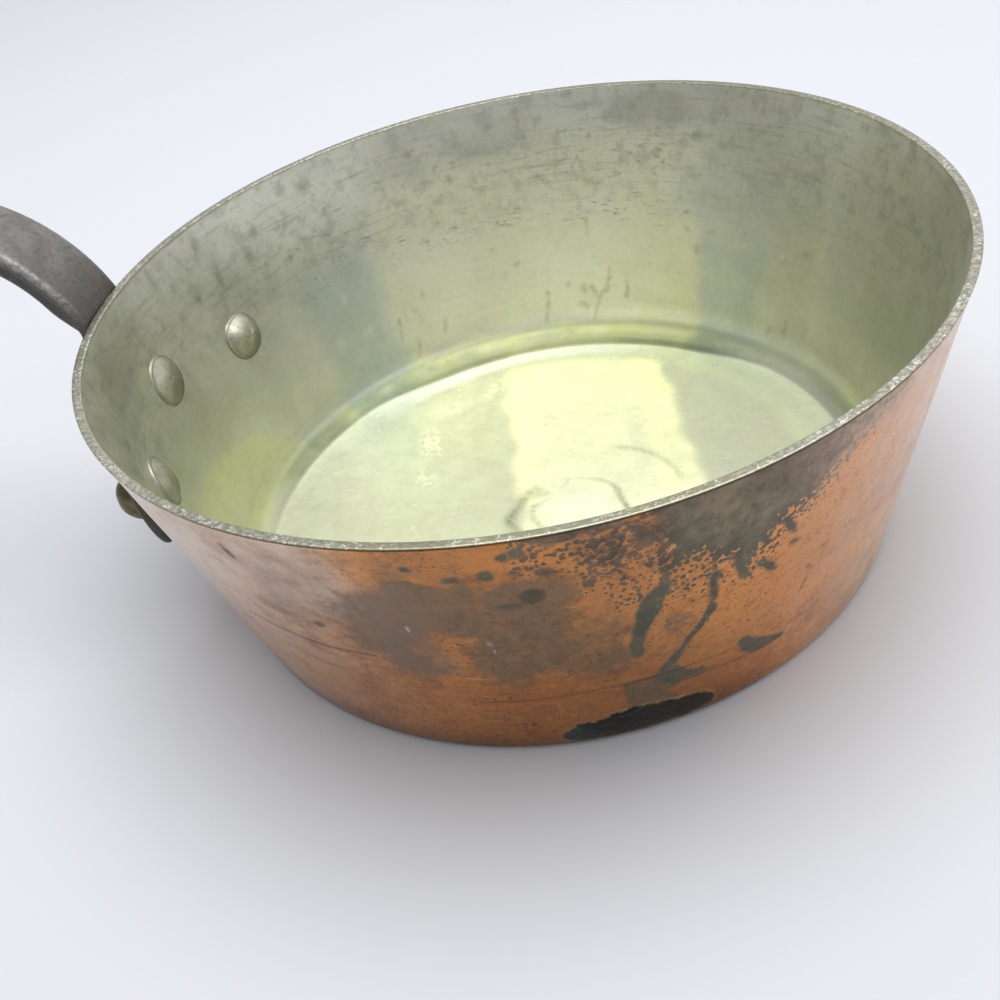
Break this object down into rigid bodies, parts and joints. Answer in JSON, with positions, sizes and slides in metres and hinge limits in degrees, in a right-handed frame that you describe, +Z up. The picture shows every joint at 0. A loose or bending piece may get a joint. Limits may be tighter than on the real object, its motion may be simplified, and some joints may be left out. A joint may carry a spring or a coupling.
{
  "type": "windsor pan",
  "caption": "Flared copper saucepan, tinned inside, with a cast iron handle riveted to its wall.",
  "frame": {"origin": "centre of the flat base, on the surface that the pan stands on", "axes": "+Z up along the pan's own axis; the handle points along -X and rises; the plane y = 0 halves the pan and its handle"},
  "size_m": [0.3753, 0.2, 0.1504],
  "materials": {
    "copper": "worn copper, brown tarnish in patches, fine rubbed scratches",
    "tin": "wiped tin, greenish grey, mottled and stained by use",
    "cast_iron": "bare grey cast iron, fine grained and dull",
    "rivets": "hammered copper heads, tinned inside and dark outside"
  },
  "bodies": {
    "root": {"copper_body": "copper", "tin_lining": "tin", "cast_handle": "cast_iron", "rivet_left": "rivets", "rivet_middle": "rivets", "rivet_right": "rivets"}
  },
  "joints": []
}
